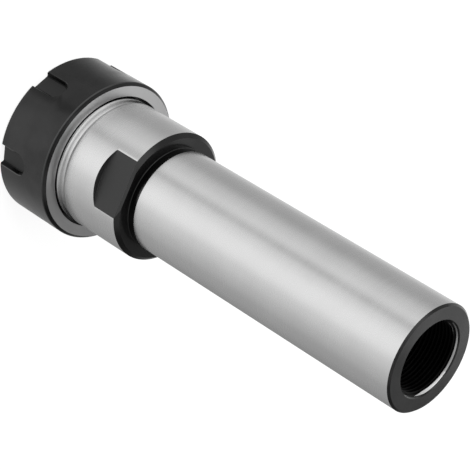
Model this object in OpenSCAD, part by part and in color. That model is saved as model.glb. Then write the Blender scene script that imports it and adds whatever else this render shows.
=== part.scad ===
// Collet chuck holder with a straight shank, stood on the front face of its clamping nut.
// The common axis is Z. Z = 0 is the front face of the nut, and the shank points up.
// Millimetres.

/* [Shank] */
// Diameter of the ground shank
shank_d = 40; // [36:0.5:44]
// Length of the ground shank, with its end chamfer
shank_len = 121.75; // [60:0.25:160]
// Chamfer round the end of the shank
shank_chamfer = 0.75; // [0.3:0.05:1.5]
// Diameter of the relief between the flange and the ground shank
relief_d = 39.4; // [35:0.1:43]
// Length of that relief
relief_len = 3.25; // [1:0.25:6]

/* [Through bore] */
// Diameter of the bore behind the collet
bore_d = 26; // [22:0.5:27]
// Nominal diameter of the internal thread in the end of the shank
end_thread_d = 28; // [27.5:0.5:31]
// Depth of the internal thread
end_thread_len = 32; // [15:1:45]
// Width of the countersink at the mouth of the thread, beyond its nominal size
end_countersink = 0.45; // [0.1:0.05:0.6]

/* [Neck] */
// Diameter of the neck
neck_d = 50; // [48:0.5:56]
// Length of the neck from the nut to the edge of the rear chamfer
neck_len = 31; // [24:0.25:50]
// Chamfer at the rear edge of the neck
neck_chamfer = 1.5; // [0.5:0.25:2.5]
// Distance across the two spanner flats
flats_across = 45.25; // [43:0.25:47]
// Length of each flat at its middle, measured from the rear face
flats_len = 14; // [8:0.25:16]
// Diameter of the cutter that rounds the end of each flat
flats_cutter_d = 63; // [50:1:80]
// Radial height of the pilot in the nut's mouth above the neck
pilot_rise = 0.2; // [0.1:0.05:0.4]
// Length of the pilot
pilot_len = 0.8; // [0.5:0.1:1]
// Chamfer at the rear of the pilot, where a slight taper starts
pilot_chamfer = 0.45; // [0.2:0.05:0.5]
// Depth below the neck of the narrow groove at the end of that taper
neck_groove_depth = 0.8; // [0.5:0.05:1]
// Distance of the groove from the nut
neck_groove_gap = 2.5; // [1.5:0.1:4]
// Length of the groove at its bottom
neck_groove_len = 0.45; // [0.3:0.05:0.8]
// Length of the slope from the groove up to the neck
neck_groove_slope = 0.55; // [0.3:0.05:1]

/* [Nose] */
// Nominal diameter of the nut's thread
thread_d = 50; // [48:0.5:52]
// Pitch of the nut's thread
thread_pitch = 1.5; // [1:0.25:2]
// Distance from the collet's widest place to the face of the nose
nose_gap = 1.5; // [1:0.25:2.5]
// Chamfer at the start of the nose thread
nose_chamfer = 0.8; // [0.4:0.1:1.2]
// Depth of the tapered socket behind the collet's rear end
socket_extra = 4; // [2:0.5:8]

/* [Nut] */
// Outer diameter of the nut
nut_d = 63; // [60:0.5:70]
// Length of the nut
nut_len = 25.5; // [24:0.25:32]
// Chamfer round the front edge of the nut
nut_front_chamfer = 0.5; // [0.3:0.1:1.5]
// Radial width of the chamfer round the rear edge of the nut
nut_rear_chamfer = 1.1; // [0.6:0.1:1.6]
// Axial length of that chamfer
nut_rear_chamfer_len = 1.2; // [0.6:0.1:2]
// Diameter of the counterbore in the rear of the nut
nut_mouth_d = 51.8; // [51.4:0.1:54]
// Depth of that counterbore
nut_mouth_len = 4; // [3:0.25:6]
// Chamfer at the mouth of the counterbore
nut_mouth_chamfer = 0.4; // [0.2:0.1:0.8]
// Number of wrench slots
slot_count = 6; // [4:1:8]
// Width of a wrench slot at the nut's surface
slot_w = 8.3; // [5:0.1:9]
// How much narrower a slot is at its floor
slot_taper = 1.8; // [0:0.1:2.4]
// Length of a wrench slot from the front face to the crown of its round end
slot_len = 14; // [10:0.5:18]
// Depth of a wrench slot
slot_depth = 2.1; // [1:0.1:2.5]
// Angle of the first slot when the nut is tight
slot_phase = -8.2; // [-30:0.1:30]
// Offset of the extraction lip's hole from the axis
lip_offset = 1.4; // [1:0.1:1.8]

/* [Collet] */
// Largest diameter of the collet
collet_d = 41; // [40:0.25:42]
// Length of the collet
collet_len = 46; // [40:0.5:50]
// Bore of the collet, the tool shank that it grips
grip_d = 20; // [6:0.5:24]
// Diameter of the collet's front face
front_d = 34.6; // [33:0.2:36]
// Diameter of the collet's head, where its front cone ends
head_d = 39.2; // [38.4:0.1:39.6]
// Length of the straight land behind the front cone
head_land = 0.7; // [0.4:0.1:1]
// Diameter of the extraction groove
groove_d = 35.2; // [34:0.2:36]
// Width of the extraction groove
groove_w = 3.6; // [3:0.1:4.5]
// Length of the straight collar at the collet's widest place
collar_len = 1.2; // [0.8:0.1:2]
// Half angle of the long taper
taper_angle = 8; // [8:0.1:8.4]
// Half angle of the front cone
cone_angle = 30; // [28:0.5:35]
// Number of slits cut from each end
slit_count = 8; // [4:1:10]
// Width of a slit
slit_w = 1; // [0.6:0.1:1.4]
// Material left beyond the closed end of a slit
slit_rest = 5; // [4:0.5:8]
// Distance of the collet's face behind the face of the nut
recess = 0.5; // [0.3:0.1:1]

/* [Fits] */
// Radial clearance of the collet in the taper and in the nut
fit = 0.05; // [0.03:0.01:0.08]
// Clearance at the crests and roots of the nut's thread
thread_clear = 0.05; // [0.03:0.01:0.1]
// Axial clearance of the extraction lip in its groove
lip_clear = 0.6; // [0.4:0.1:0.8]

/* [Hidden] */
$fn = 144;
over = 1;

// Depth of a sixty degree thread as a share of its pitch
thread_share = 0.6134;
nose_root_r = thread_d / 2 - thread_share * thread_pitch - thread_clear;
nut_root_r = thread_d / 2 + thread_clear;
end_thread_r = end_thread_d / 2;
end_mouth_r = end_thread_r + end_countersink;

// Places along the collet, from its front face to its rear end
head_z = recess + (head_d - front_d) / 2 / tan(cone_angle);
groove_z = head_z + head_land;
collar_z = groove_z + groove_w;
taper_z = collar_z + collar_len;
collet_end_z = recess + collet_len;

// Places along the holder
nose_z = taper_z + nose_gap;
socket_end_z = collet_end_z + socket_extra;
pilot_z = nut_len - nut_mouth_len / 4;
pilot_end_z = pilot_z + pilot_len;
neck_groove_z = nut_len + neck_groove_gap;
neck_groove_end_z = neck_groove_z + neck_groove_len;
neck_z = neck_groove_end_z + neck_groove_slope;
neck_end_z = nut_len + neck_len;
rear_face_z = neck_end_z + neck_chamfer;
shank_z = rear_face_z + relief_len;
shank_end_z = shank_z + shank_len;
pilot_r = neck_d / 2 + pilot_rise;
neck_groove_r = neck_d / 2 - neck_groove_depth;

// Places inside the nut
lip_z = groove_z + lip_clear;
lip_end_z = collar_z - lip_clear;
lip_r = head_d / 2 + lip_clear / 2;
cavity_r = lip_r + lip_offset + lip_clear;
nut_shoulder_z = nose_z - nose_gap;
nut_thread_end_z = nut_len - nut_mouth_len;

// Half widths of a wrench slot at its floor and just outside the nut, and the height where its end begins
slot_floor_half = (slot_w - slot_taper) / 2;
slot_top_half = slot_w / 2 + slot_taper / 2 / slot_depth * over;
slot_bend_z = slot_len - slot_w / 2;

function taper_r(z) = collet_d / 2 - (z - taper_z) * tan(taper_angle);
function cone_r(z) = front_d / 2 + (z - recess) * tan(cone_angle);

// The space in front of a flat, in X and Z from the middle of its round end
module flat_outline() {
    intersection() {
        translate([0, flats_cutter_d / 2])
            circle(flats_cutter_d / 2);
        translate([-neck_d / 2, -over])
            square([neck_d, flats_len + 2 * over]);
    }
}

// A flat milled across the neck, open to the rear face
module spanner_flat() {
    translate([0, neck_d / 2 + over, rear_face_z - flats_len])
        rotate([90, 0, 0])
            linear_extrude(neck_d / 2 + over - flats_across / 2)
                flat_outline();
}

module holder_outside() {
    rotate_extrude()
        polygon([
            [0, nose_z],
            [nose_root_r - nose_chamfer, nose_z],
            [nose_root_r, nose_z + nose_chamfer],
            [nose_root_r, pilot_z],
            [pilot_r, pilot_z],
            [pilot_r, pilot_end_z],
            [pilot_r - pilot_chamfer, pilot_end_z + pilot_chamfer],
            [neck_groove_r, neck_groove_z],
            [neck_groove_r, neck_groove_end_z],
            [neck_d / 2, neck_z],
            [neck_d / 2, neck_end_z],
            [neck_d / 2 - neck_chamfer, rear_face_z],
            [relief_d / 2, rear_face_z],
            [relief_d / 2, shank_z],
            [shank_d / 2, shank_z],
            [shank_d / 2, shank_end_z - shank_chamfer],
            [shank_d / 2 - shank_chamfer, shank_end_z],
            [0, shank_end_z],
        ]);
}

// The tapered socket, the bore behind it and the threaded mouth in the shank's end
module holder_inside() {
    rotate_extrude()
        polygon([
            [0, nose_z - over],
            [taper_r(nose_z - over) + fit, nose_z - over],
            [taper_r(socket_end_z) + fit, socket_end_z],
            [bore_d / 2, socket_end_z],
            [bore_d / 2, shank_end_z - end_thread_len],
            [end_thread_r, shank_end_z - end_thread_len],
            [end_thread_r, shank_end_z - end_countersink],
            [end_mouth_r, shank_end_z],
            [end_mouth_r, shank_end_z + over],
            [0, shank_end_z + over],
        ]);
}

module holder_body() {
    color("silver")
        difference() {
            holder_outside();
            holder_inside();
            for (turn = [0, 180])
                rotate([0, 0, turn])
                    spanner_flat();
        }
}

// Cross-section of a wrench slot: X outward from its floor, Y across it
module slot_section() {
    polygon([
        [0, -slot_floor_half],
        [slot_depth + over, -slot_top_half],
        [slot_depth + over, slot_top_half],
        [0, slot_floor_half],
    ]);
}

// One wrench slot. Its walls lean out, and its closed end is half a cone.
module wrench_slot() {
    translate([nut_d / 2 - slot_depth, 0, -over])
        linear_extrude(slot_bend_z + over)
            slot_section();
    translate([nut_d / 2 - slot_depth, 0, slot_bend_z])
        rotate([0, 90, 0])
            cylinder(h = slot_depth + over, r1 = slot_floor_half, r2 = slot_top_half);
}

module nut_outside() {
    rotate_extrude()
        polygon([
            [0, 0],
            [nut_d / 2 - nut_front_chamfer, 0],
            [nut_d / 2, nut_front_chamfer],
            [nut_d / 2, nut_len - nut_rear_chamfer_len],
            [nut_d / 2 - nut_rear_chamfer, nut_len],
            [0, nut_len],
        ]);
}

// The cone that presses on the collet's head, and the straight bore behind it
module nut_cone() {
    rotate_extrude()
        polygon([
            [0, -over],
            [cone_r(-over) + fit, -over],
            [cone_r(head_z) + fit, head_z],
            [cone_r(head_z) + fit, lip_z],
            [0, lip_z],
        ]);
}

// The eccentric hole of the extraction lip, which hooks into the collet's groove on one side
module lip_hole() {
    translate([lip_offset, 0, lip_z - lip_clear / 2])
        cylinder(r = lip_r, h = lip_end_z - lip_z + lip_clear);
}

// The space behind the lip, the thread and the counterbore
module nut_rear_bore() {
    rotate_extrude()
        polygon([
            [0, lip_end_z],
            [cavity_r, lip_end_z],
            [cavity_r, nut_shoulder_z],
            [nut_root_r, nut_shoulder_z],
            [nut_root_r, nut_thread_end_z],
            [nut_mouth_d / 2, nut_thread_end_z],
            [nut_mouth_d / 2, nut_len - nut_mouth_chamfer],
            [nut_mouth_d / 2 + nut_mouth_chamfer, nut_len],
            [nut_mouth_d / 2 + nut_mouth_chamfer, nut_len + over],
            [0, nut_len + over],
        ]);
}

module clamping_nut() {
    color("dimgray")
        difference() {
            nut_outside();
            nut_cone();
            lip_hole();
            nut_rear_bore();
            for (i = [0:slot_count - 1])
                rotate([0, 0, slot_phase + i * 360 / slot_count])
                    wrench_slot();
        }
}

module collet_outside() {
    rotate_extrude()
        polygon([
            [0, recess],
            [front_d / 2, recess],
            [head_d / 2, head_z],
            [head_d / 2, groove_z],
            [groove_d / 2, groove_z],
            [groove_d / 2, collar_z],
            [collet_d / 2, collar_z],
            [collet_d / 2, taper_z],
            [taper_r(collet_end_z), collet_end_z],
            [0, collet_end_z],
        ]);
}

// One radial slit between two heights
module slit(from_z, to_z) {
    translate([0, -slit_w / 2, from_z])
        cube([collet_d, slit_w, to_z - from_z]);
}

module collet() {
    color("lightgray")
        difference() {
            collet_outside();
            translate([0, 0, recess - over])
                cylinder(d = grip_d, h = collet_len + 2 * over);
            for (i = [0:slit_count - 1]) {
                rotate([0, 0, i * 360 / slit_count])
                    slit(recess - over, collet_end_z - slit_rest);
                rotate([0, 0, (i + 0.5) * 360 / slit_count])
                    slit(recess + slit_rest, collet_end_z + over);
            }
        }
}

holder_body();
clamping_nut();
collet();
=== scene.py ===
"""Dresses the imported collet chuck: turned and ground surfaces, threads, floor, light and camera."""

import math

import bmesh
import bpy
from mathutils import Matrix, Vector


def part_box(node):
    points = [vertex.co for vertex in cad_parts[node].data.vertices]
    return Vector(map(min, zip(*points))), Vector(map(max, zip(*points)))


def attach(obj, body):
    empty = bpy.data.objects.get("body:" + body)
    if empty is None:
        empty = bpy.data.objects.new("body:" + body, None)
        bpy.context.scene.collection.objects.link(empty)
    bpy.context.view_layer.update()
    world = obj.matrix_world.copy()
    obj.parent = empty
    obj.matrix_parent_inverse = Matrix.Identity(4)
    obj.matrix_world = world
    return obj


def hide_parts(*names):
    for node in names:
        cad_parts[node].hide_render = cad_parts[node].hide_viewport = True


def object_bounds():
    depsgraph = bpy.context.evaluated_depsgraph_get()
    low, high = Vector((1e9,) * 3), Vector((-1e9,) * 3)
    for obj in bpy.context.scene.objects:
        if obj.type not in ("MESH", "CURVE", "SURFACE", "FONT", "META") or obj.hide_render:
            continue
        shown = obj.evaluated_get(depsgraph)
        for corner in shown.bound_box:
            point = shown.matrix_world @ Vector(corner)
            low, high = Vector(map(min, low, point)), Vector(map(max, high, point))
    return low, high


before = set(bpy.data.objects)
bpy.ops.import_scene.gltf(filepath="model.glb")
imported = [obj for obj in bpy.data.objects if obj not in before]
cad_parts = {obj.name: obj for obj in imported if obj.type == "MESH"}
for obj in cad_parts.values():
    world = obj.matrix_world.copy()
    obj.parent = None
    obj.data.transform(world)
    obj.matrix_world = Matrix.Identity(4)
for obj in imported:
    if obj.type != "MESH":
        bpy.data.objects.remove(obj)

CAD_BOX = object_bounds()
MM = 0.001
FULL_TURN = 2 * math.pi
QUARTER_TURN = math.pi / 2

# Sizes of the nut in millimetres, as on the drawing of the part
NUT_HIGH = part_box("clamping_nut")[1] / MM
NUT_R = NUT_HIGH.x
NUT_LEN = NUT_HIGH.z
NUT_FRONT_CHAMFER = 0.5
NUT_REAR_CHAMFER = 1.1
NUT_REAR_CHAMFER_LEN = 1.2
NUT_MOUTH_R = 25.9
NUT_MOUTH_LEN = 4.0
NUT_MOUTH_CHAMFER = 0.4
SLOT_COUNT = 6
SLOT_W = 8.3
SLOT_TAPER = 1.8
SLOT_LEN = 14.0
SLOT_DEPTH = 2.1
SLOT_PHASE = math.radians(-8.2)
LIP_R = 19.9
LIP_OFFSET = 1.4
LIP_Z = 5.6
LIP_END_Z = 8.2
CONE_MOUTH_R = 17.06
CONE_END_R = 19.65
CONE_END_Z = 4.48
CAVITY_R = 21.9
NUT_SHOULDER_Z = 9.98

# Sizes of the holder in millimetres, from its nose to the shank's end
HOLDER_LOW, HOLDER_HIGH = (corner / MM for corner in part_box("holder_body"))
NOSE_Z = HOLDER_LOW.z
NOSE_CHAMFER = 0.8
SOCKET_MOUTH_R = 20.34
SOCKET_END_R = 14.86
SOCKET_END_Z = 50.5
PILOT_R = 25.2
PILOT_Z = 24.5
PILOT_END_Z = 25.3
PILOT_CHAMFER = 0.38
# The taper from the pilot to the groove is almost level for a short way
TAPER_R = 24.6
TAPER_Z = 26.5
TAPER_REST = 0.2
TAPER_REST_FALL = 0.01
GROOVE_R = 24.2
GROOVE_EDGE = 0.1
GROOVE_Z = 28.0
GROOVE_END_Z = 28.45
NECK_R = HOLDER_HIGH.x
NECK_Z = 29.0
NECK_LEN = 31.0
NECK_END_Z = NUT_LEN + NECK_LEN
NECK_CHAMFER = 1.5
# A band at the neck's start that is turned and not ground
TURNED_LEN = 0.75
REAR_FACE_Z = NECK_END_Z + NECK_CHAMFER
REAR_FILLET = 0.35
FLAT_HALF = 22.625
FLAT_LEN = 14.0
FLAT_Z = REAR_FACE_Z - FLAT_LEN
FLAT_END_R = 31.5
FLAT_FILLET = 0.3
RELIEF_R = 19.7
RELIEF_LEN = 3.25
SHANK_Z = REAR_FACE_Z + RELIEF_LEN
SHANK_END_Z = HOLDER_HIGH.z
SHANK_R = 20.0
SHANK_CHAMFER = 0.75
BORE_R = 13.0
# The mouth in the shank's end: a small chamfer, then a 60 degree cone
END_MOUTH_R = 14.45
END_MOUTH_CHAMFER = 0.45
END_CONE_R = 13.95
END_CONE_Z = SHANK_END_Z - END_MOUTH_CHAMFER
END_CONE_SLOPE = math.tan(math.radians(30))

# Threads, in millimetres
THREAD_PITCH = 1.5
THREAD_CLEAR = 0.05
# Depth of a metric thread as a share of its pitch, outside and inside
OUTER_DEPTH = 0.6134
INNER_DEPTH = 0.5413
# Half the width of its ridge as a share of its pitch, at the root and at the crest
OUTER_ROOT_HALF = 3 / 8
OUTER_CREST_HALF = 1 / 16
INNER_ROOT_HALF = 7 / 16
INNER_CREST_HALF = 1 / 8
NOSE_THREAD_R = 25.0
NOSE_ROOT_R = NOSE_THREAD_R - OUTER_DEPTH * THREAD_PITCH - THREAD_CLEAR
NUT_ROOT_R = NOSE_THREAD_R + THREAD_CLEAR
END_THREAD_R = 14.0
END_THREAD_LEN = 32.0
END_CREST_R = END_THREAD_R - INNER_DEPTH * THREAD_PITCH
# Height at which the mouth's cone meets the end thread's crests
END_CREST_Z = END_CONE_Z - (END_CONE_R - END_CREST_R) / END_CONE_SLOPE

# Size of the small breaks on edges, in millimetres
EDGE = 0.15
# Numbers of steps round a full turn
TURN_STEPS = 200
THREAD_STEPS = 120
# Points closer than the first of these become one, and edges shorter than the second go, in millimetres
SAME_PLACE = 1e-5
NO_LENGTH = 1e-6
# Edges that bend by more than this look sharp
SHARP_ANGLE = math.radians(33)
SHARP_THREAD_ANGLE = math.radians(25)
# How far large faces set the shading where they meet small ones, where 50 is even
FACE_WEIGHT = 80


# Shapes

def linked_object(name, data):
    """An object of the scene with that data."""
    made = bpy.data.objects.new(name, data)
    bpy.context.scene.collection.objects.link(made)
    return made


def mesh_object(name, bm, materials):
    """A mesh object with the shape of a bmesh, which it uses up."""
    mesh = bpy.data.meshes.new(name)
    bm.to_mesh(mesh)
    bm.free()
    for material in materials:
        mesh.materials.append(material)
    return linked_object(name, mesh)


def smooth_piece(name, bm, materials):
    """A mesh object in metres from a bmesh in millimetres, smooth apart from its sharp edges."""
    bmesh.ops.remove_doubles(bm, verts=bm.verts, dist=SAME_PLACE)
    bmesh.ops.dissolve_degenerate(bm, edges=bm.edges, dist=NO_LENGTH)
    bmesh.ops.scale(bm, vec=(MM, MM, MM), verts=bm.verts)
    bmesh.ops.recalc_face_normals(bm, faces=bm.faces)
    piece = mesh_object(name, bm, materials)
    piece.data.shade_smooth()
    piece.data.set_sharp_from_angle(angle=SHARP_ANGLE)
    return piece


def skin(rings, finishes):
    """Joins rings of equal count one after another, and the last to the first. finishes[i] is the material
    index of the faces after ring i, or a function of the step round the ring that gives it."""
    bm = bmesh.new()
    rows = [[bm.verts.new(point) for point in ring] for ring in rings]
    for row, above, finish in zip(rows, rows[1:] + rows[:1], finishes):
        for j in range(len(row)):
            k = (j + 1) % len(row)
            face = bm.faces.new((row[j], row[k], above[k], above[j]))
            face.material_index = finish(j) if callable(finish) else finish
    return bm


def circle(radius, z, angles, shift=0.0):
    """Points at these angles round a circle, which is shifted along X."""
    return [(shift + radius * math.cos(a), radius * math.sin(a), z) for a in angles]


def spread(start, end, steps):
    """Values from start up to but not including end."""
    return [start + (end - start) * i / steps for i in range(steps)]


def broken_edge(before, corner, after, width, steps=2):
    """The corner of an outline replaced by a small round of that width."""
    points = []
    start = [c + (b - c) * width / math.dist(corner, before) for b, c in zip(before, corner)]
    end = [c + (a - c) * width / math.dist(corner, after) for a, c in zip(after, corner)]
    for i in range(steps + 1):
        t = i / steps
        weights = ((1 - t) ** 2, 2 * t * (1 - t), t ** 2)
        points.append(tuple(sum(w * p[k] for w, p in zip(weights, (start, corner, end))) for k in (0, 1)))
    return points


class Rings:
    """The rings of a turned piece in order, each with the finish of the faces after it."""

    def __init__(self, make_ring):
        self.make_ring = make_ring
        self.rings = []
        self.finishes = []

    def add(self, points, finish, **form):
        """Adds a ring for each (radius, z). form is what make_ring takes besides."""
        for radius, z in points:
            self.rings.append(self.make_ring(radius, z, **form))
            self.finishes.append(finish)

    def go_on(self, finish):
        """Gives the faces after the last ring another finish."""
        self.finishes[-1] = finish

    def made(self, name, materials):
        """The piece, whose large faces stay flat beside their small edge breaks."""
        piece = smooth_piece(name, skin(self.rings, self.finishes), materials)
        modifier = piece.modifiers.new("weighted_normals", "WEIGHTED_NORMAL")
        modifier.keep_sharp = True
        modifier.weight = FACE_WEIGHT
        return piece


# Holder

# Places of the finishes in the holder's list of materials
GROUND, BLACK, BORE, FLAT_WALL, REAR, TURNED, FLAT = range(7)
# The angle from the middle of the curve between the flats to a flat's edge, and the steps across a flat
# and round each curve
FLAT_ANGLE = math.asin(FLAT_HALF / NECK_R)
FLAT_STEPS = round(TURN_STEPS * (QUARTER_TURN - FLAT_ANGLE) / math.pi)
CURVE_STEPS = TURN_STEPS // 2 - FLAT_STEPS
FILLET_STEPS = 3
CHAMFER_STEPS = 6
REAR_FILLET_STEPS = 4


def flat_end_rise(x):
    """How far up the axis the round end of a flat has come at a distance from its middle."""
    across = min(abs(x), NECK_R * math.cos(FLAT_ANGLE))
    return FLAT_END_R - math.sqrt(FLAT_END_R ** 2 - across ** 2)


def holder_ring(radius, z, flat=FLAT_HALF, cut=False, rising=False):
    """A ring of the holder, cut by the two flats at that distance from the axis, or round. It can rise as
    the flats' round ends do."""
    corner = math.asin(flat / (radius if cut else NECK_R))
    points = []
    for side in (1, -1):
        curve = circle(radius, z, spread(-corner, corner, CURVE_STEPS))
        points += [(side * x, side * y, z) for x, y, _ in curve]
        if cut:
            half = radius * math.cos(corner)
            points += [(side * x, side * flat, z) for x in spread(half, -half, FLAT_STEPS)]
        else:
            rest = circle(radius, z, spread(corner, math.pi - corner, FLAT_STEPS))
            points += [(side * x, side * y, z) for x, y, _ in rest]
    if rising:
        points = [(x, y, z + flat_end_rise(x)) for x, y, z in points]
    return points


def on_flats(flat_finish):
    """The finish of each face round a ring that the flats cut: ground, and another one on the flats."""
    def finish(step):
        return flat_finish if step % (TURN_STEPS // 2) >= CURVE_STEPS else GROUND

    return finish


def add_nose(rings):
    """The nose, the pilot in the nut's mouth, and the taper and groove behind it."""
    nose_edge = (NOSE_ROOT_R - NOSE_CHAMFER, NOSE_Z)
    nose_start = (NOSE_ROOT_R, NOSE_Z + NOSE_CHAMFER)
    rings.add([(SOCKET_MOUTH_R, NOSE_Z), nose_edge, nose_start, (NOSE_ROOT_R, PILOT_Z)], BLACK)
    rings.add([(PILOT_R, PILOT_Z), (PILOT_R, PILOT_END_Z)], GROUND)
    rings.add([(PILOT_R - PILOT_CHAMFER, PILOT_END_Z + PILOT_CHAMFER)], GROUND)
    rings.add([(TAPER_R, TAPER_Z), (TAPER_R - TAPER_REST_FALL, TAPER_Z + TAPER_REST)], GROUND)
    rings.add([(GROOVE_R + GROOVE_EDGE, GROOVE_Z - GROOVE_EDGE)], GROUND)
    rings.add([(GROOVE_R, GROOVE_Z), (GROOVE_R, GROOVE_END_Z)], GROUND)


def add_neck(rings):
    """The neck with its two flats, and the rear face up to the relief."""
    neck_end = (NECK_R, NECK_END_Z)
    rings.add(broken_edge((GROOVE_R, GROOVE_END_Z), (NECK_R, NECK_Z), neck_end, EDGE), GROUND)
    rings.go_on(TURNED)
    rings.add([(NECK_R, NECK_Z + TURNED_LEN)], GROUND)
    rings.add([(NECK_R, FLAT_Z - EDGE)], GROUND, rising=True)
    rings.add([(NECK_R, FLAT_Z)], FLAT_WALL, flat=FLAT_HALF + FLAT_FILLET, rising=True)
    for i in range(FILLET_STEPS + 1):
        turn = QUARTER_TURN * i / FILLET_STEPS
        z = FLAT_Z + FLAT_FILLET * (1 - math.cos(turn))
        flat = FLAT_HALF + FLAT_FILLET * (1 - math.sin(turn))
        rings.add([(NECK_R, z)], on_flats(FLAT_WALL), flat=flat, cut=True, rising=True)
    rings.go_on(on_flats(FLAT))
    rings.add([(NECK_R, NECK_END_Z - EDGE)], on_flats(FLAT), cut=True)
    for i in range(CHAMFER_STEPS + 1):
        part = NECK_CHAMFER * (i / CHAMFER_STEPS)
        rings.add([(NECK_R - part, NECK_END_Z + part)], BLACK, cut=True)
    rings.go_on(REAR)
    relief_start = (RELIEF_R, REAR_FACE_Z)
    relief_end = (RELIEF_R, SHANK_Z)
    corner = broken_edge((NECK_R, REAR_FACE_Z), relief_start, relief_end, REAR_FILLET, REAR_FILLET_STEPS)
    rings.add(corner, BLACK)


def add_shank(rings):
    """The relief, the shank and its end, and the bore back to the socket."""
    shank_edge = (SHANK_R, SHANK_END_Z - SHANK_CHAMFER)
    end_edge = (SHANK_R - SHANK_CHAMFER, SHANK_END_Z)
    thread_start = SHANK_END_Z - END_THREAD_LEN
    rings.add([(RELIEF_R, SHANK_Z - EDGE)], BLACK)
    rings.add([(SHANK_R, SHANK_Z + EDGE), (SHANK_R, SHANK_END_Z - SHANK_CHAMFER - EDGE)], GROUND)
    rings.add([shank_edge, end_edge, (END_MOUTH_R, SHANK_END_Z)], BLACK)
    rings.add([(END_THREAD_R, END_CONE_Z), (END_THREAD_R, thread_start)], BORE)
    rings.add([(BORE_R, thread_start), (BORE_R, SOCKET_END_Z), (SOCKET_END_R, SOCKET_END_Z)], BORE)
    rings.go_on(GROUND)


def make_holder(materials):
    """The holder, from its nose round the outside and back through the bore."""
    rings = Rings(holder_ring)
    add_nose(rings)
    add_neck(rings)
    add_shank(rings)
    return rings.made("holder_turned", materials)


# Nut

# Places of the finishes in the nut's list of materials
OXIDE, FACED, SLOT_WALL, WORN_AND_HIGHLIGHT, SLOT_FILLET, SLOT_FLOOR = range(6)
# The finish of each face across a slot, from edge to edge. The fillets' finish is darker than the floors',
# painted shade in the corners.
ACROSS_SLOT = (
    OXIDE, SLOT_WALL, SLOT_FILLET, SLOT_FILLET, SLOT_FLOOR, SLOT_FLOOR,
    SLOT_FLOOR, SLOT_FLOOR, SLOT_FILLET, SLOT_FILLET, SLOT_WALL, WORN_AND_HIGHLIGHT,
)
# Steps between two slots, and round a slot's end to the crown of its floor and of its rim
ARC_STEPS = 24
FLOOR_ARCH_STEPS = 8
RIM_ARCH_STEPS = 6
SLOT_EDGE = 0.2
SLOT_FILLET_W = 0.3
# Where the middle of a fillet lies, as a share of its size from each wall
FILLET_BEND = 0.3
# The most of a low wall's height that its edge or its fillet may take
WALL_SHARE = 1 / 3
# Rounds of getting closer to where a slot's wall meets the nut's outside
RIM_ROUNDS = 4
SLOT_FLOOR_R = NUT_R - SLOT_DEPTH
SLOT_FLOOR_HALF = (SLOT_W - SLOT_TAPER) / 2
SLOT_LEAN = SLOT_TAPER / 2 / SLOT_DEPTH
SLOT_BEND_Z = SLOT_LEN - SLOT_W / 2
SLOT_STEP = FULL_TURN / SLOT_COUNT
# How far inside the slots' floors the front face has a ring
FRONT_RING_INSET = 0.6
NUT_EDGE = 0.35
NUT_EDGE_STEPS = 4


def slot_section(radius, past):
    """One side of a slot's cross-section on a nut of that radius, at a distance past the start of its round
    end, from its edge to its middle: (across, outward)."""
    def half_at(out):
        return math.sqrt(max(0.0, (SLOT_FLOOR_HALF + SLOT_LEAN * (out - SLOT_FLOOR_R)) ** 2 - past ** 2))

    bottom = SLOT_FLOOR_R + max(0.0, (past - SLOT_FLOOR_HALF) / SLOT_LEAN)
    top = radius
    for _ in range(RIM_ROUNDS):
        top = math.sqrt(radius ** 2 - half_at(top) ** 2)
    edge = min(SLOT_EDGE, (top - bottom) * WALL_SHARE)
    fillet = min(SLOT_FILLET_W, (top - bottom) * WALL_SHARE)
    inward = min(fillet, half_at(bottom))
    bend = FILLET_BEND * fillet
    rim = half_at(top) + edge
    return [
        (rim, math.sqrt(radius ** 2 - rim ** 2)),
        (half_at(top - edge), top - edge),
        (half_at(bottom + fillet), bottom + fillet),
        (half_at(bottom + bend) - FILLET_BEND * inward, bottom + bend),
        (half_at(bottom) - inward, bottom),
        ((half_at(bottom) - inward) / 2, bottom),
    ]


def nut_ring(radius, z, past=0.0, cut=False, shift=0.0):
    """A ring of the nut, with its wrench slots at that distance past the start of their ends, or round."""
    outside = radius if cut else NUT_R
    side = slot_section(outside, past)
    section = [(-x, out) for x, out in side] + [(0.0, side[-1][1])] + side[::-1]
    edge_angle = math.asin(side[0][0] / outside)
    edge_step = 2 * edge_angle / (len(section) - 1)
    points = []
    for i in range(SLOT_COUNT):
        middle = SLOT_PHASE + i * SLOT_STEP
        if cut:
            for across, out in section:
                x = out * math.cos(middle) - across * math.sin(middle)
                y = out * math.sin(middle) + across * math.cos(middle)
                points.append((x, y, z))
        else:
            angles = [middle - edge_angle + edge_step * k for k in range(len(section))]
            points += circle(radius, z, angles, shift)
        next_edge = middle + SLOT_STEP - edge_angle
        points += circle(radius, z, spread(middle + edge_angle, next_edge, ARC_STEPS)[1:], shift)
    return points


def arch_rows():
    """Distances past the start of a slot's round end, to the crown of its floor and on to that of its rim."""
    floor_crown = math.asin(SLOT_FLOOR_HALF / (SLOT_W / 2))
    rows = [SLOT_FLOOR_HALF * math.sin(turn) for turn in spread(0.0, QUARTER_TURN, FLOOR_ARCH_STEPS)]
    rows += [SLOT_W / 2 * math.sin(turn) for turn in spread(floor_crown, QUARTER_TURN, RIM_ARCH_STEPS)]
    return rows + [SLOT_W / 2]


def in_slots(step):
    """The finish at a step round the nut where the slots are cut."""
    place = step % (len(ACROSS_SLOT) + ARC_STEPS)
    return ACROSS_SLOT[place] if place < len(ACROSS_SLOT) else OXIDE


def add_slots(rings):
    """The nut's front face and its outside up to the ends of the slots."""
    rings.add([(SLOT_FLOOR_R - FRONT_RING_INSET, 0.0)], OXIDE)
    rings.add([(NUT_R - NUT_FRONT_CHAMFER, 0.0), (NUT_R, NUT_FRONT_CHAMFER)], in_slots, cut=True)
    for past in arch_rows():
        rings.add([(NUT_R, SLOT_BEND_Z + past)], in_slots, past=past, cut=True)
    rings.go_on(OXIDE)
    rings.add([(NUT_R, SLOT_LEN + SLOT_W / 2)], OXIDE)


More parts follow.
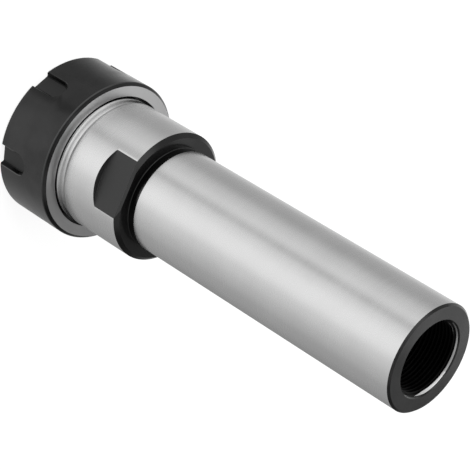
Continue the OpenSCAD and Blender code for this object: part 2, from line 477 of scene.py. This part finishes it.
def add_rear_face(rings):
    """The rear chamfer and face, up to the chamfer of the nut's mouth."""
    rear_edge = (NUT_R, NUT_LEN - NUT_REAR_CHAMFER_LEN)
    face_edge = (NUT_R - NUT_REAR_CHAMFER, NUT_LEN)
    mouth_edge = (NUT_MOUTH_R + NUT_MOUTH_CHAMFER, NUT_LEN)
    mouth_start = (NUT_MOUTH_R, NUT_LEN - NUT_MOUTH_CHAMFER)
    # The rear edge takes the worn finish: wear, and a painted highlight along the edge.
    rings.add(broken_edge((NUT_R, SLOT_LEN), rear_edge, face_edge, NUT_EDGE, NUT_EDGE_STEPS), WORN_AND_HIGHLIGHT)
    rings.go_on(OXIDE)
    rings.add(broken_edge(rear_edge, face_edge, mouth_edge, EDGE / 2), OXIDE)
    rings.go_on(FACED)
    rings.add(broken_edge(face_edge, mouth_edge, mouth_start, EDGE / 2), FACED)
    rings.go_on(SLOT_WALL)
    rings.add([mouth_start], OXIDE)


def add_nut_inside(rings):
    """The mouth, the thread's bore, the cavity, the eccentric lip and the cone."""
    mouth_end_z = NUT_LEN - NUT_MOUTH_LEN
    rings.add([(NUT_MOUTH_R, mouth_end_z), (NUT_ROOT_R, mouth_end_z), (NUT_ROOT_R, NUT_SHOULDER_Z)], OXIDE)
    rings.add([(CAVITY_R, NUT_SHOULDER_Z), (CAVITY_R, LIP_END_Z)], OXIDE)
    rings.add([(LIP_R, LIP_END_Z), (LIP_R, LIP_Z)], OXIDE, shift=LIP_OFFSET)
    rings.add([(CONE_END_R, LIP_Z), (CONE_END_R, CONE_END_Z), (CONE_MOUTH_R, 0.0)], OXIDE)


def make_nut(materials):
    """The nut, from its front face round the outside and back inside."""
    rings = Rings(nut_ring)
    add_slots(rings)
    add_rear_face(rings)
    add_nut_inside(rings)
    return rings.made("nut_turned", materials)


# Threads

# Place of the crest's own finish in a thread's list of materials, after that of its flanks
CREST = 1
# Inner radius of the solids that cut threads, and how far they reach past what they cut
CUTTER_R = 0.5
CUTTER_SPARE = 0.5
# The bare land on the end thread's topmost turn: where it ends, how far round it goes, and how much of
# that it takes to grow to its full width
LAND_END = math.radians(72)
LAND_TURN = math.radians(66)
LAND_TAPER = math.radians(20)
LAND_STEPS = 48
# How far round from the land's end the thread's crest is bare too
BARE_TURN = math.radians(90)
# The land stands out from the cone by this much, so that it hides the thread under it
LAND_PROUD = 0.012
# Faces closer to the cone than this are on it
ON_CONE = 3 * LAND_PROUD
# Height of the middle of the thread's topmost turn where the land ends
END_TOP_TURN_Z = 182.31
# Height of the land's lower edge on the cone there, and of its tip
LAND_FLOOR_Z = 181.9
LAND_TIP_Z = 182.3


def wound(bm, section, angle):
    """Points of a bmesh for a section of (radius, z) at an angle round the axis."""
    return [bm.verts.new((r * math.cos(angle), r * math.sin(angle), z)) for r, z in section]


def bridge(bm, rows):
    """Joins four-cornered sections one after another, and closes both ends."""
    for row, following in zip(rows, rows[1:]):
        for j in range(4):
            k = (j + 1) % 4
            bm.faces.new((row[j], row[k], following[k], following[j]))
    bm.faces.new(rows[0])
    bm.faces.new(rows[-1])


def thread_ridge(root_r, crest_r, start_z, end_z, root_half, crest_half, phase):
    """A right-hand ridge wound on a cylinder, sunk a little into it, as a bmesh."""
    steps = round((end_z - start_z) / THREAD_PITCH * THREAD_STEPS)
    sunk_r = root_r + math.copysign(THREAD_CLEAR, root_r - crest_r)
    bm = bmesh.new()
    rows = []
    for i in range(steps + 1):
        turn = i / THREAD_STEPS
        z = start_z + THREAD_PITCH * turn
        section = (
            (sunk_r, z - root_half),
            (crest_r, z - crest_half),
            (crest_r, z + crest_half),
            (sunk_r, z + root_half),
        )
        rows.append(wound(bm, section, phase + FULL_TURN * turn))
    bridge(bm, rows)
    return bm


def apply_modifiers(piece):
    """Gives a piece the mesh that its modifiers make, and drops them."""
    depsgraph = bpy.context.evaluated_depsgraph_get()
    made = bpy.data.meshes.new_from_object(piece.evaluated_get(depsgraph))
    piece.modifiers.clear()
    piece.data = made


def trimmed(piece, outline, keep_inside):
    """Cuts a piece with the solid that an outline of (radius, z) sweeps round the axis."""
    angles = spread(0.0, FULL_TURN, TURN_STEPS)
    bm = skin([circle(radius, z, angles) for radius, z in outline], [0] * len(outline))
    cutter = smooth_piece(piece.name + "_cutter", bm, [])
    modifier = piece.modifiers.new("trim", "BOOLEAN")
    modifier.operation = "INTERSECT" if keep_inside else "DIFFERENCE"
    modifier.solver = "EXACT"
    modifier.object = cutter
    apply_modifiers(piece)
    bpy.data.objects.remove(cutter)
    piece.data.set_sharp_from_angle(angle=SHARP_THREAD_ANGLE)
    return piece


def make_nose_thread(materials):
    """The nose's thread, which starts at its chamfer and ends at the pilot."""
    crest_r = NOSE_THREAD_R - THREAD_CLEAR
    bm = thread_ridge(
        NOSE_ROOT_R, crest_r, NOSE_Z - THREAD_PITCH, PILOT_Z - THREAD_PITCH / 2,
        THREAD_PITCH * OUTER_ROOT_HALF, THREAD_PITCH * OUTER_CREST_HALF, 0.0,
    )
    inner = NOSE_ROOT_R - 2 * CUTTER_SPARE
    outer = crest_r + CUTTER_SPARE
    envelope = [
        (inner, NOSE_Z + EDGE),
        (NOSE_ROOT_R - NOSE_CHAMFER + EDGE, NOSE_Z + EDGE),
        (outer, NOSE_Z + NOSE_CHAMFER + outer - NOSE_ROOT_R),
        (outer, PILOT_Z),
        (inner, PILOT_Z),
    ]
    return trimmed(smooth_piece("nose_thread", bm, materials), envelope, keep_inside=True)


def make_nut_thread(materials):
    """The nut's thread, whose ridge runs midway between the turns of the nose's."""
    crest_r = NOSE_THREAD_R - INNER_DEPTH * THREAD_PITCH + THREAD_CLEAR
    start_z = NUT_SHOULDER_Z + THREAD_PITCH / 2
    mouth_z = NUT_LEN - NUT_MOUTH_LEN
    phase = math.pi + FULL_TURN * (start_z - NOSE_Z) / THREAD_PITCH
    bm = thread_ridge(
        NUT_ROOT_R, crest_r, start_z, mouth_z + THREAD_PITCH,
        THREAD_PITCH * INNER_ROOT_HALF - THREAD_CLEAR, THREAD_PITCH * INNER_CREST_HALF - THREAD_CLEAR, phase,
    )
    depth = NUT_ROOT_R - crest_r
    plug = [
        (CUTTER_R, mouth_z - depth),
        (crest_r, mouth_z - depth),
        (NUT_ROOT_R + CUTTER_SPARE, mouth_z + CUTTER_SPARE),
        (NUT_ROOT_R + CUTTER_SPARE, NUT_LEN),
        (CUTTER_R, NUT_LEN),
    ]
    return trimmed(smooth_piece("nut_thread", bm, materials), plug, keep_inside=False)


def countersunk(piece, bare_start, bare_turn, proud=0.0):
    """Cuts a piece of the end thread back to the mouth's chamfer and cone. From an angle and for a turn,
    what lies on the cone gets the crest's finish."""
    top_z = SHANK_END_Z + 2 * THREAD_PITCH
    plug = [
        (CUTTER_R, END_CREST_Z),
        (END_CREST_R - proud, END_CREST_Z),
        (END_CONE_R - proud, END_CONE_Z),
        (END_MOUTH_R, SHANK_END_Z),
        (END_MOUTH_R, top_z),
        (CUTTER_R, top_z),
    ]
    trimmed(piece, plug, keep_inside=False)
    for face in piece.data.polygons:
        x, y, z = face.center / MM
        cone_r = END_CREST_R + (z - END_CREST_Z) * END_CONE_SLOPE
        on_cone = z < END_CONE_Z and abs(math.hypot(x, y) - cone_r) < ON_CONE
        if on_cone and (math.atan2(y, x) - bare_start) % FULL_TURN < bare_turn:
            face.material_index = CREST
    return piece


def make_end_thread(materials):
    """The thread in the shank's end, up to where its topmost turn runs into the mouth."""
    start_z = SHANK_END_Z - END_THREAD_LEN + THREAD_PITCH
    end_z = END_TOP_TURN_Z + THREAD_PITCH
    bm = thread_ridge(
        END_THREAD_R, END_CREST_R, start_z, end_z,
        THREAD_PITCH * INNER_ROOT_HALF, THREAD_PITCH * INNER_CREST_HALF,
        LAND_END - FULL_TURN * (end_z - start_z) / THREAD_PITCH,
    )
    return countersunk(smooth_piece("end_thread", bm, materials), LAND_END, BARE_TURN)


def make_end_land(materials):
    """The bare land on the end thread's topmost turn. It grows from a tip and ends bluntly."""
    bm = bmesh.new()
    rows = []
    outer = END_THREAD_R + THREAD_CLEAR
    for i in range(LAND_STEPS + 1):
        back = LAND_TURN * (1 - i / LAND_STEPS)
        share = min(1.0, (LAND_TURN - back) / LAND_TAPER)
        full_floor = LAND_FLOOR_Z - THREAD_PITCH * back / FULL_TURN
        floor = LAND_TIP_Z + (full_floor - LAND_TIP_Z) * share
        top = LAND_TIP_Z + (END_CONE_Z - LAND_TIP_Z) * share if share < 1 else SHANK_END_Z
        section = ((outer, top), (END_CREST_R, top), (END_CREST_R, floor), (outer, floor))
        rows.append(wound(bm, section, LAND_END - back))
    bridge(bm, rows)
    return countersunk(smooth_piece("end_land", bm, materials), LAND_END - LAND_TURN, LAND_TURN, LAND_PROUD)


# Nodes of materials and the world

class Nodes:
    """A small helper that adds and links the nodes of one material or world."""

    def __init__(self, owner):
        owner.use_nodes = True
        self.tree = owner.node_tree
        self.tree.nodes.clear()

    def feed(self, socket, value):
        """Links another node's output to a socket, or sets the socket to a constant."""
        if isinstance(value, bpy.types.NodeSocket):
            self.tree.links.new(value, socket)
        else:
            socket.default_value = value

    def add(self, kind, inputs=None, **settings):
        """A new node of that kind with its settings made and its inputs fed."""
        node = self.tree.nodes.new(kind)
        for name, value in settings.items():
            setattr(node, name, value)
        for name, value in (inputs or {}).items():
            self.feed(node.inputs[name], value)
        return node

    def math(self, operation, *values):
        """The output of a new sum of one or more values."""
        node = self.add("ShaderNodeMath", operation=operation)
        for socket, value in zip(node.inputs, values):
            self.feed(socket, value)
        return node.outputs[0]

    def remap(self, value, low, high):
        """value from 0 to 1 as a value from low to high."""
        return self.math("MULTIPLY_ADD", value, high - low, low)

    def blend(self, low, high, share):
        """low where share is 0, high where it is 1."""
        rest = self.math("MULTIPLY", low, self.math("SUBTRACT", 1.0, share))
        return self.math("ADD", self.math("MULTIPLY", high, share), rest)

    def smooth_step(self, value, start, end, before=0.0, after=1.0):
        """Goes softly from before to after while value goes from start to end."""
        limits = {"From Min": start, "From Max": end, "To Min": before, "To Max": after}
        step = self.add("ShaderNodeMapRange", {"Value": value, **limits}, interpolation_type="SMOOTHSTEP")
        return step.outputs[0]

    def scaled(self, vector, scale):
        """The vector times scale."""
        scaling = self.add("ShaderNodeVectorMath", {0: vector, "Scale": scale}, operation="SCALE")
        return scaling.outputs[0]

    def direction(self, parts):
        """The compass direction of a separated vector, from -pi to pi."""
        return self.math("ARCTAN2", parts.outputs["Y"], parts.outputs["X"])


def radius_of(nodes, place):
    """Distance of a point from the part's axis, from the object's own coordinates."""
    flat = nodes.add("ShaderNodeVectorMath", {0: place, 1: (1, 1, 0)}, operation="MULTIPLY")
    return nodes.add("ShaderNodeVectorMath", {0: flat.outputs[0]}, operation="LENGTH").outputs["Value"]


# Metal finishes

# How fast tool marks change along their own direction, per millimetre
DRIFT = 0.05
MARK_DETAIL = 3.0
# How much tool marks change a finish's shade and its roughness
MARK_SHADE = 0.03
MARK_ROUGHNESS = 0.03
# The clouds of a finish: how many in a metre, and how much they change its roughness
CLOUD_SCALE = 90.0
CLOUD_DETAIL = 4.0
CLOUD_ROUGHNESS = 0.03
NOISE_ROUGHNESS = 0.55
# The film of oil where it is thin and thick, as shares of its named strength
OIL_THIN = 0.55
OIL_THICK = 1.25
OIL_ROUGHNESS = 0.15


def noise(nodes, vector, scale, detail):
    """A random value between 0 and 1 that changes softly from place to place."""
    return nodes.add(
        "ShaderNodeTexNoise",
        {"Vector": vector, "Scale": scale, "Detail": detail, "Roughness": NOISE_ROUGHNESS},
    ).outputs["Fac"]


def tool_marks(nodes, place, faced, per_mm):
    """Fine marks that run round the axis: along it on a turned cylinder, by radius on a turned face."""
    if faced:
        across = radius_of(nodes, place)
    else:
        across = nodes.add("ShaderNodeSeparateXYZ", {0: place}).outputs["Z"]
    fine = nodes.math("MULTIPLY", across, per_mm / MM)
    slow = nodes.add("ShaderNodeSeparateXYZ", {0: nodes.scaled(place, DRIFT / MM)})
    vector = nodes.add(
        "ShaderNodeCombineXYZ", {"X": slow.outputs["X"], "Y": slow.outputs["Y"], "Z": fine}
    ).outputs[0]
    return noise(nodes, vector, 1.0, MARK_DETAIL)


def metal(name, grey, roughness, marks_per_mm, faced=False, mottle=0.06, bump=0.0015, oil=0.0):
    """A machined metal finish: cloudy grey, and tool marks in its roughness and relief. mottle is how much
    its clouds change the grey, bump the marks' height in millimetres and oil the strength of its film."""
    material = bpy.data.materials.new(name)
    nodes = Nodes(material)
    place = nodes.add("ShaderNodeTexCoord").outputs["Object"]
    clouds = noise(nodes, place, CLOUD_SCALE, CLOUD_DETAIL)
    marks = tool_marks(nodes, place, faced, marks_per_mm)
    cloudy = nodes.remap(clouds, 1 - mottle, 1 + mottle)
    shade = nodes.math("MULTIPLY", cloudy, nodes.remap(marks, 1 - MARK_SHADE, 1 + MARK_SHADE))
    marked = nodes.remap(marks, roughness - MARK_ROUGHNESS, roughness + MARK_ROUGHNESS)
    rough = nodes.math("ADD", marked, nodes.remap(clouds, -CLOUD_ROUGHNESS, CLOUD_ROUGHNESS))
    relief = nodes.add("ShaderNodeBump", {"Height": marks, "Distance": bump * MM, "Strength": 1.0})
    shader = nodes.add(
        "ShaderNodeBsdfPrincipled",
        {
            "Base Color": nodes.scaled((grey, grey, grey), shade),
            "Metallic": 1.0,
            "Roughness": rough,
            "Normal": relief.outputs[0],
            "Coat Weight": nodes.remap(clouds, oil * OIL_THIN, oil * OIL_THICK),
            "Coat Roughness": OIL_ROUGHNESS,
            "Coat Normal": relief.outputs[0],
        },
    )
    nodes.add("ShaderNodeOutputMaterial", {"Surface": shader.outputs[0]})
    return material


def ground_steel():
    """The shank, the neck, the pilot and the socket."""
    return metal("ground_steel", grey=0.70, roughness=0.27, marks_per_mm=1.4)


def turned_steel():
    """The band at the neck's start."""
    return metal("turned_steel", grey=0.50, roughness=0.30, marks_per_mm=2.0)


def faced_steel():
    """The nut's rear face."""
    return metal(
        "faced_steel", grey=0.62, roughness=0.30, marks_per_mm=2.5, faced=True, mottle=0.08, bump=0.003
    )


def bare_steel():
    """The land at the mouth of the shank's end."""
    return metal("bare_steel", grey=0.92, roughness=0.33, marks_per_mm=4.0)


def scuffed_steel():
    """The end thread's crest beside the land."""
    return metal("scuffed_steel", grey=0.60, roughness=0.40, marks_per_mm=4.0)


def collet_steel():
    """The whole collet."""
    return metal("collet_steel", grey=0.60, roughness=0.3, marks_per_mm=3.0)


def black_oxide():
    """The oiled black of the nut, and of the holder's nose, chamfers, relief and end face."""
    return metal("black_oxide", grey=0.004, roughness=0.4, marks_per_mm=2.0, mottle=0.10, oil=1.0)


def worn_and_highlit_oxide():
    """One edge of each slot and the nut's rear edge, rubbed by tools and hands, and lighter as a painted
    highlight where these edges catch the light.
    """
    return metal("worn_and_highlit_oxide", grey=0.07, roughness=0.4, marks_per_mm=2.0, mottle=0.2, oil=0.5)


def slot_wall_oxide():
    """The slots' walls, and the chamfer of the nut's mouth."""
    return metal("slot_black_oxide", grey=0.004, roughness=0.5, marks_per_mm=2.0, mottle=0.10, oil=0.15)


def slot_fillet_oxide():
    """The corners between the slots' walls and floors, darker than the floors: painted shade in the corners.
    """
    return metal("fillet_oxide", grey=0.02, roughness=0.5, marks_per_mm=2.0, mottle=0.10)


def slot_floor_oxide():
    """The slots' floors."""
    return metal("slot_floor_oxide", grey=0.055, roughness=0.35, marks_per_mm=2.0, mottle=0.10)


def flat_oxide():
    """The two spanner flats, matt from the mill."""
    return metal("milled_oxide", grey=0.12, roughness=0.8, marks_per_mm=2.0, mottle=0.10)


def flat_wall_oxide():
    """The round walls at the flats' ends."""
    return metal("rough_oxide", grey=0.08, roughness=0.70, marks_per_mm=2.0, mottle=0.15)


def rear_oxide():
    """The rear face round the relief."""
    return metal("rear_oxide", grey=0.02, roughness=0.5, marks_per_mm=2.0, faced=True, mottle=0.10, oil=0.8)


def bore_oxide():
    """The bore and the ridges of the threads."""
    return metal("bore_black_oxide", grey=0.012, roughness=0.4, marks_per_mm=2.0, mottle=0.10)


def dress():
    """Builds each piece with its finishes, on the body that it rides with."""
    oxide = black_oxide()
    bore = bore_oxide()
    holder_finishes = [
        ground_steel(), oxide, bore, flat_wall_oxide(), rear_oxide(), turned_steel(), flat_oxide()
    ]
    nut_finishes = [
        oxide, faced_steel(), slot_wall_oxide(), worn_and_highlit_oxide(), slot_fillet_oxide(), slot_floor_oxide()
    ]
    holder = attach(make_holder(holder_finishes), "holder")
    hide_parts("holder_body")
    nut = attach(make_nut(nut_finishes), "nut")
    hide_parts("clamping_nut")
    for make, crest, body, slot in (
        (make_nose_thread, bore, "holder", "holder_steel"),
        (make_end_thread, scuffed_steel(), "holder", "holder_steel"),
        (make_end_land, bare_steel(), "holder", "holder_steel"),
        (make_nut_thread, bore, "nut", "nut_black_oxide"),
    ):
        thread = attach(make([bore, crest]), body)
    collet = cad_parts["collet"]
    collet.data.materials.clear()
    collet.data.materials.append(collet_steel())


# World

# Brightness that metal sees, by compass direction in degrees
LOW_SKY = (
    (0, 0.45), (60, 0.3), (84, 0.95), (100, 0.75), (130, 0.5), (155, 0.45), (190, 0.75), (206, 0.9),
    (212, 0.85), (223, 0.5), (236, 0.9), (262, 1.1), (280, 1.1), (305, 0.8), (335, 0.6), (360, 0.45),
)
MID_SKY = (
    (0, 0.1), (55, 0.1), (95, 0.3), (125, 0.35), (150, 0.5), (195, 1.0), (256, 1.1), (300, 0.65), (360, 0.1),
)
HIGH_SKY = (
    (0, 0.25), (70, 0.15), (90, 0.2), (120, 0.4), (150, 0.5), (190, 0.6), (220, 0.2), (250, 0.05),
    (290, 0.1), (320, 0.5), (340, 0.6), (360, 0.25),
)
TOP_SKY = (
    (0, 0.4), (90, 0.35), (150, 0.6), (190, 1.6), (225, 1.4), (256, 0.8), (300, 0.7), (330, 0.7), (360, 0.4),
)
# What follows the low sky from the bottom up, and between which heights it takes over, where straight down
# is -1 and straight up is 1
SKY_ABOVE = ((MID_SKY, -0.48, -0.1), (HIGH_SKY, 0.24, 0.5), (TOP_SKY, 0.6, 0.74))
# Brightness of the room for what isn't mirrored, and of the backdrop for the camera
ROOM_LIGHT = 0.8
BACKDROP = 1.0
WHITE = (1, 1, 1, 1)


def sky_ramp(nodes, turn, stops):
    """The brightness of one band of sky, where turn goes from 0 to 1 round the compass."""
    node = nodes.add("ShaderNodeValToRGB", {0: turn})
    ramp = node.color_ramp
    ramp.interpolation = "EASE"
    peak = max(level for _, level in stops)
    for i, (direction, level) in enumerate(stops):
        stop = ramp.elements[i] if i < 2 else ramp.elements.new(direction / 360)
        stop.position = direction / 360
        stop.color = (level / peak, level / peak, level / peak, 1)
    return nodes.math("MULTIPLY", node.outputs["Color"], peak)


def make_world():
    """A studio whose walls only metal mirrors, with an even light and a white backdrop for the rest."""
    world = bpy.data.worlds.new("studio")
    bpy.context.scene.world = world
    nodes = Nodes(world)
    way = nodes.add("ShaderNodeTexCoord").outputs["Generated"]
    parts = nodes.add("ShaderNodeSeparateXYZ", {0: way})
    turn = nodes.math("FRACT", nodes.math("DIVIDE", nodes.direction(parts), FULL_TURN))
    sky = sky_ramp(nodes, turn, LOW_SKY)
    for stops, start_z, end_z in SKY_ABOVE:
        share = nodes.smooth_step(parts.outputs["Z"], start_z, end_z)
        sky = nodes.blend(sky, sky_ramp(nodes, turn, stops), share)
    ray = nodes.add("ShaderNodeLightPath")
    level = nodes.blend(ROOM_LIGHT, sky, ray.outputs["Is Glossy Ray"])
    level = nodes.blend(level, BACKDROP, ray.outputs["Is Camera Ray"])
    backdrop = nodes.add("ShaderNodeBackground", {"Color": WHITE, "Strength": level})
    nodes.add("ShaderNodeOutputWorld", {"Surface": backdrop.outputs[0]})


# Floor, in metres

FLOOR_R = 3.0
FLOOR_STEPS = 96
FLOOR_DROP = 0.02 * MM
FLOOR_GLOW = 0.8
FLOOR_GREY = (0.3, 0.3, 0.3, 1)
# The painted shadow on the floor beside the nut: its direction from the axis, its half width and its reach,
# each as where it is full and where it is gone, and how dark it is
SHADE_WAY = math.radians(205)
SHADE_TURN = (math.radians(10), math.radians(44))
SHADE_R = (0.050, 0.075)
SHADE_DEPTH = 0.35
SHADE_STEPS = 64
SHADE_DROP = 0.01 * MM


def make_disc(name, radius, steps, drop, material):
    """A round sheet, that far below the nut's front face."""
    bm = bmesh.new()
    bmesh.ops.create_circle(bm, cap_ends=True, radius=radius, segments=steps)
    disc = mesh_object(name, bm, [material])
    disc.location.z = CAD_BOX[0].z - drop
    return disc


def floor_material():
    """Matt and pale, lifted towards white for the camera. It is clear from below."""
    material = bpy.data.materials.new("pale_floor")
    nodes = Nodes(material)
    ray = nodes.add("ShaderNodeLightPath")
    strength = nodes.math("MULTIPLY", ray.outputs["Is Camera Ray"], FLOOR_GLOW)
    glow = nodes.add("ShaderNodeEmission", {"Color": WHITE, "Strength": strength})
    matt = nodes.add("ShaderNodeBsdfDiffuse", {"Color": FLOOR_GREY})
    both = nodes.add("ShaderNodeAddShader", {0: glow.outputs[0], 1: matt.outputs[0]})
    clear = nodes.add("ShaderNodeBsdfTransparent")
    back = nodes.add("ShaderNodeNewGeometry").outputs["Backfacing"]
    mixed = nodes.add("ShaderNodeMixShader", {0: back, 1: both.outputs[0], 2: clear.outputs[0]})
    nodes.add("ShaderNodeOutputMaterial", {"Surface": mixed.outputs[0]})
    return material


def make_floor():
    """A round floor under the nut. It goes down with the nut, which the chuck stands on."""
    floor = make_disc("floor", FLOOR_R, FLOOR_STEPS, FLOOR_DROP, floor_material())
    floor.visible_glossy = False
    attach(floor, "nut")


def shade_material():
    """A soft painted shadow that thins out away from the nut and to both sides."""
    material = bpy.data.materials.new("floor_shade")
    nodes = Nodes(material)
    place = nodes.add("ShaderNodeTexCoord").outputs["Object"]
    parts = nodes.add("ShaderNodeSeparateXYZ", {0: place})
    aside = nodes.math("ABSOLUTE", nodes.direction(parts))
    share = SHADE_DEPTH
    for value, (full, gone) in ((aside, SHADE_TURN), (radius_of(nodes, place), SHADE_R)):
        share = nodes.math("MULTIPLY", share, nodes.smooth_step(value, full, gone, 1.0, 0.0))
    dark = nodes.add("ShaderNodeEmission", {"Strength": 0.0})
    clear = nodes.add("ShaderNodeBsdfTransparent")
    mixed = nodes.add("ShaderNodeMixShader", {0: share, 1: clear.outputs[0], 2: dark.outputs[0]})
    nodes.add("ShaderNodeOutputMaterial", {"Surface": mixed.outputs[0]})
    return material


def make_shade():
    """A dark sheet that paints the shadow on the floor beside the nut, which the nut's wall mirrors. Only
    metal sees it.
    """
    shade = make_disc("floor_shade", SHADE_R[1], SHADE_STEPS, SHADE_DROP, shade_material())
    shade.rotation_euler.z = SHADE_WAY
    shade.visible_camera = False
    shade.visible_diffuse = False
    shade.visible_shadow = False
    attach(shade, "nut")


# Lights, in metres and watts

# (name, low corner, high corner, brightness)
PANELS = (
    ("left_panel", Vector((-0.15, 0.15, 0.115)), Vector((0.04, 0.15, 0.36)), 0.5),
    ("right_panel", Vector((0.04, 0.15, 0.24)), Vector((0.12, 0.15, 0.36)), 0.2),
)
KEY_PLACE = Vector((-0.9, -0.5, 1.1))
KEY_SIZE = 0.9
KEY_POWER = 8.0


def area_light(name, shape, size, power, place):
    """A light that the camera doesn't see."""
    data = bpy.data.lights.new(name, "AREA")
    data.shape = shape
    data.size = size
    data.energy = power
    light = linked_object(name, data)
    light.location = place
    light.visible_camera = False
    return light


def make_panel(name, low, high, level):
    """A soft upright panel behind the part, which only metal mirrors."""
    size = high - low
    panel = area_light(name, "RECTANGLE", size.x, level * math.pi * size.x * size.z, (low + high) / 2)
    panel.data.size_y = size.z
    panel.rotation_euler = (-QUARTER_TURN, 0, 0)
    panel.visible_diffuse = False


def make_key_lamp():
    """A large soft lamp that points at the middle of the part. Metal doesn't mirror it."""
    lamp = area_light("key_lamp", "DISK", KEY_SIZE, KEY_POWER, KEY_PLACE)
    middle = (CAD_BOX[0] + CAD_BOX[1]) / 2
    lamp.rotation_euler = (middle - KEY_PLACE).to_track_quat("-Z", "Y").to_euler()
    lamp.visible_glossy = False


# Camera, in metres, with its lens and sensor in millimetres

CAMERA_AIM = Vector((-0.0012, 0.0003, 0.0913))
CAMERA_AZIMUTH = math.radians(-14.07)
CAMERA_ELEVATION = math.radians(35.43)
CAMERA_ROLL = math.radians(121.54)
CAMERA_DISTANCE = 0.6695
CAMERA_LENS = 146.42
CAMERA_SENSOR = 36.0
CAMERA_NEAR = 0.01


def make_camera():
    """The camera that took the photo, as fitted to the part's edges there."""
    data = bpy.data.cameras.new("camera")
    data.lens = CAMERA_LENS
    data.sensor_width = CAMERA_SENSOR
    data.clip_start = CAMERA_NEAR
    camera = linked_object("camera", data)
    back = Vector((
        math.sin(CAMERA_AZIMUTH) * math.cos(CAMERA_ELEVATION),
        -math.cos(CAMERA_AZIMUTH) * math.cos(CAMERA_ELEVATION),
        math.sin(CAMERA_ELEVATION),
    ))
    place = Matrix.Translation(CAMERA_AIM + back * CAMERA_DISTANCE)
    turn = (-back).to_track_quat("-Z", "Y").to_matrix().to_4x4()
    camera.matrix_world = place @ turn @ Matrix.Rotation(CAMERA_ROLL, 4, "Z")
    bpy.context.scene.camera = camera


dress()
make_world()
make_floor()
make_shade()
for panel in PANELS:
    make_panel(*panel)
make_key_lamp()
make_camera()

bpy.context.scene.view_settings.view_transform = "Standard"
